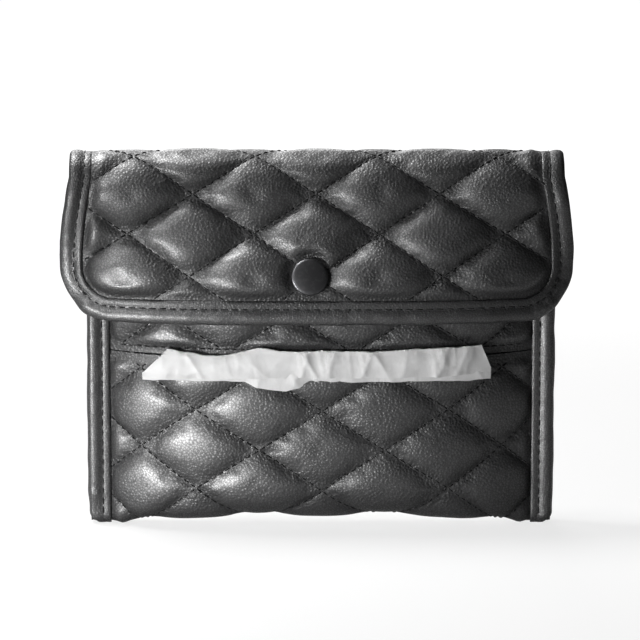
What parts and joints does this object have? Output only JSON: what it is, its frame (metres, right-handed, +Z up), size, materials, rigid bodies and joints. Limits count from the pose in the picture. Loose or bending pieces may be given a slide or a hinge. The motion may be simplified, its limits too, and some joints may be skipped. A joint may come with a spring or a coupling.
{
  "type": "car tissue holder",
  "caption": "Quilted leather-look pouch with a fold-over snap flap, a slit that tissues are pulled through, and elastic bands on the back.",
  "frame": {"origin": "centre of the back face, halfway up, where the bands hold it against a visor", "axes": "+X to the right seen from the front, -Y out of the front, +Z up"},
  "size_m": [0.211, 0.0429, 0.1581],
  "materials": {
    "quilted_leather": "pebbled black PU leather, quilted, satin",
    "binding_leather": "smooth-grained black PU leather tape, satin",
    "lining_cloth": "black woven lining",
    "elastic_band": "black ribbed elastic",
    "dark_snap_metal": "dark gunmetal plated, glossy",
    "snap_metal": "nickel plated",
    "tissue_paper": "soft white tissue"
  },
  "bodies": {
    "pouch": {"outer_wrap": "quilted_leather", "front_upper_panel": "quilted_leather", "wrap_lining": "lining_cloth", "front_upper_lining": "lining_cloth", "left_side_binding": "binding_leather", "right_side_binding": "binding_leather", "mouth_binding": "binding_leather", "snap_stud": "snap_metal", "snap_stud_post": "snap_metal", "visor_band_left": "elastic_band", "visor_band_right": "elastic_band", "lower_anchor_strip": "binding_leather", "upper_anchor_strip": "binding_leather", "tissue_stack": "tissue_paper", "top_fold_panel": "quilted_leather", "top_fold_lining": "lining_cloth", "top_fold_binding_left": "binding_leather", "top_fold_binding_right": "binding_leather"},
    "flap": {"flap_panel": "quilted_leather", "flap_lining": "lining_cloth", "flap_binding": "binding_leather", "snap_cap": "dark_snap_metal", "snap_socket": "snap_metal", "snap_spring": "snap_metal"},
    "tissue": {"pulled_tissue": "tissue_paper"}
  },
  "joints": [
    {"name": "flap_fold", "type": "hinge", "parent": "pouch", "child": "flap", "pos_m": [0, -0.0113, 0.074], "axis": [-1, 0, 0], "range_deg": [0, 175], "deforming": ["top_fold_panel", "top_fold_lining", "top_fold_binding_left", "top_fold_binding_right"]},
    {"name": "tissue_pull", "type": "slide", "parent": "pouch", "child": "tissue", "axis": [0, -1, 0], "range_m": [0, 0.08]}
  ]
}
